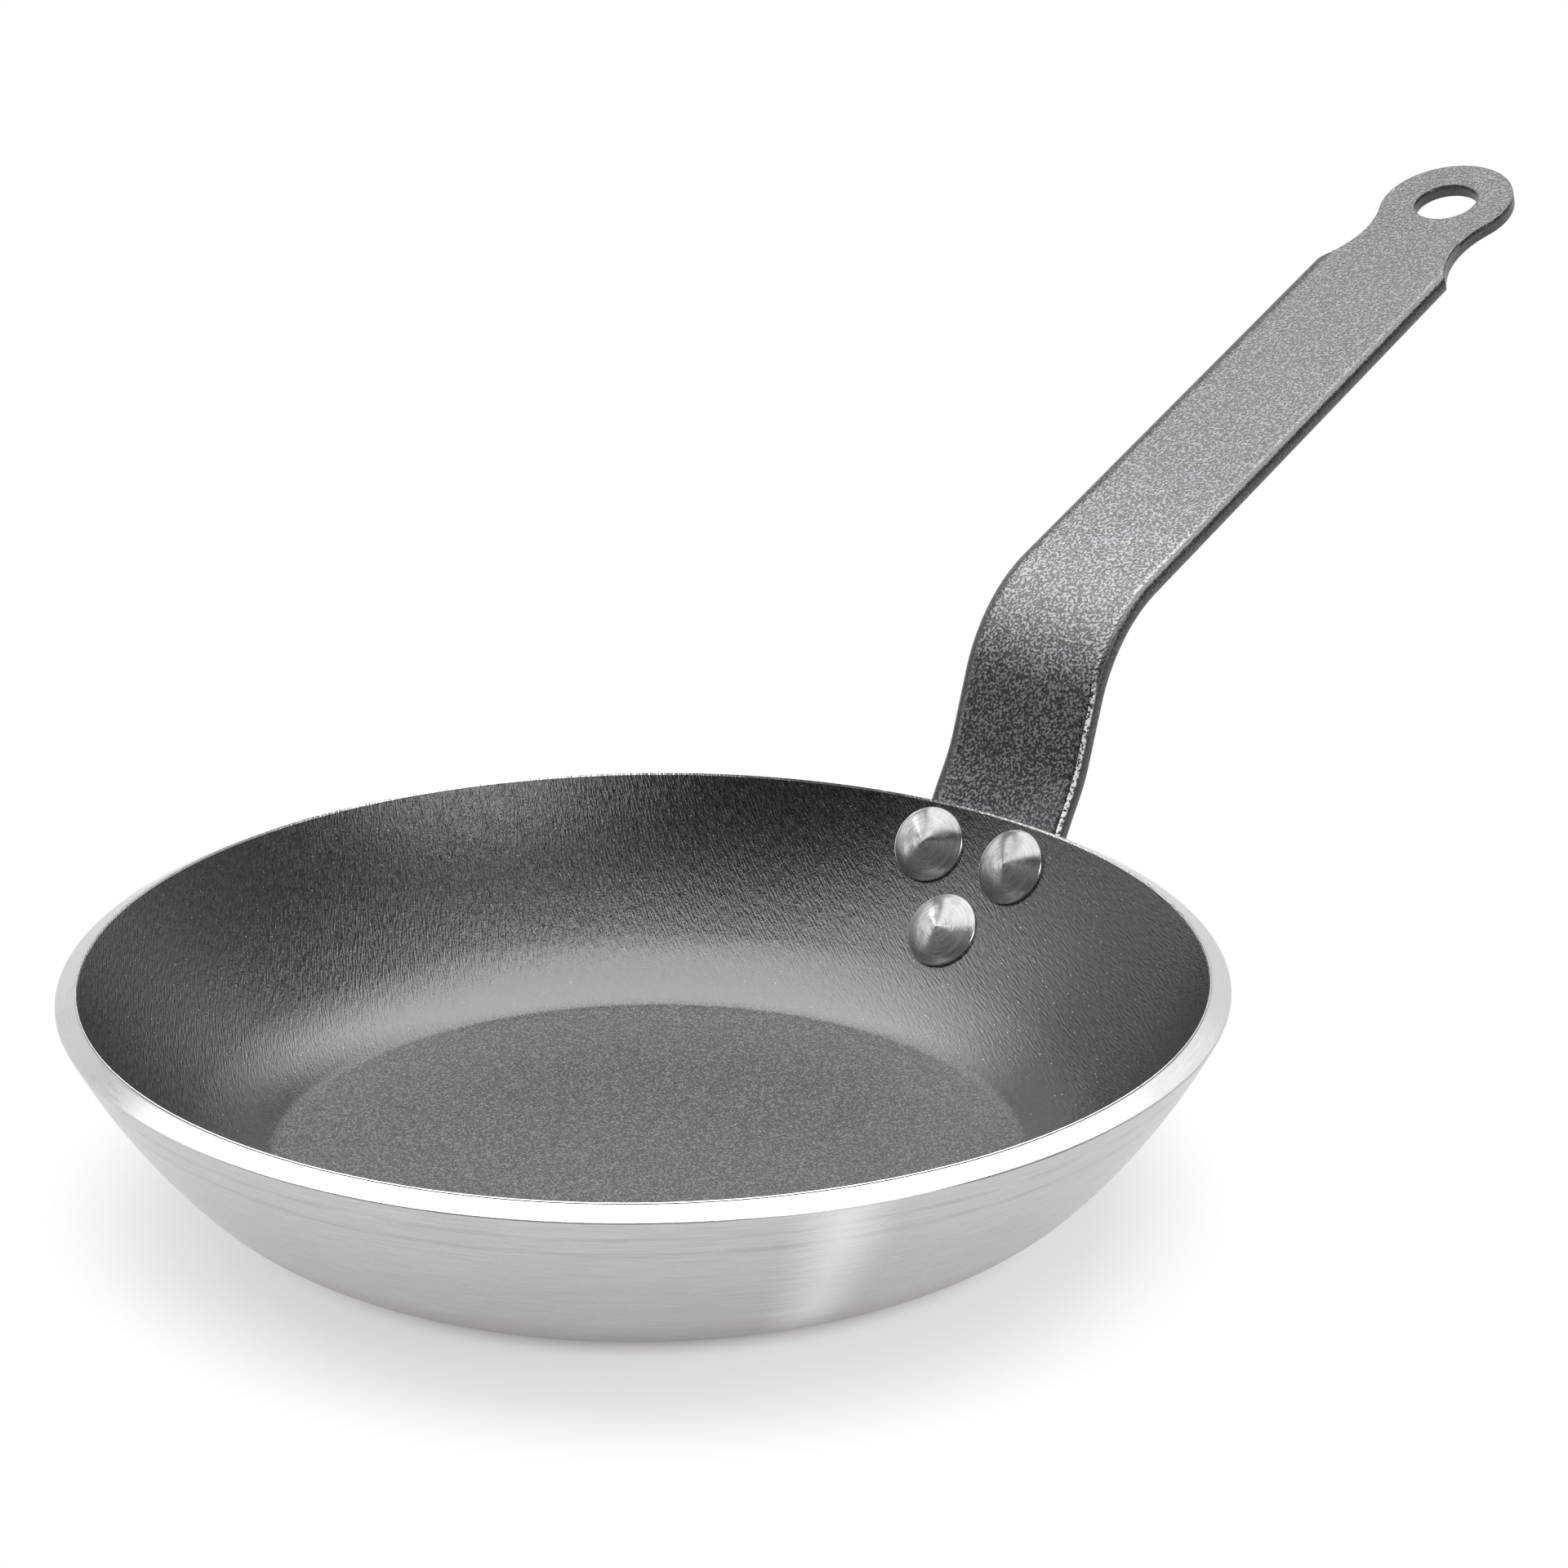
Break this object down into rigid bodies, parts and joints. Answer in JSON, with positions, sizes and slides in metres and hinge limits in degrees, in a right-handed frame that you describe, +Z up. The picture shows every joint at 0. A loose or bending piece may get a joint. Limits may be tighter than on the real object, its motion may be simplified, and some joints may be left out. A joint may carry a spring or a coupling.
{
  "type": "omelette pan",
  "caption": "Shallow round sheet pan with a coated bowl, a square cut rim and a riveted strip handle that rises to a hanging eye.",
  "frame": {"origin": "centre of the flat underside of the base, on the bowl's axis", "axes": "+Z up out of the bowl, +X from the bowl's axis along the handle, +Y to the left of the handle seen from the bowl"},
  "size_m": [0.363, 0.2, 0.133],
  "materials": {
    "bare_aluminium": "circumferentially brushed, square cut rim",
    "nonstick": "satin warm dark grey coat with a light speckle",
    "handle_enamel": "grey hammertone enamel on steel strip",
    "rivet_aluminium": "turned bare metal"
  },
  "bodies": {
    "root": {"pan_body": "bare_aluminium", "nonstick_coating": "nonstick", "handle": "handle_enamel", "handle_rivet_left": "rivet_aluminium", "handle_rivet_right": "rivet_aluminium", "handle_rivet_lower": "rivet_aluminium"}
  },
  "joints": []
}
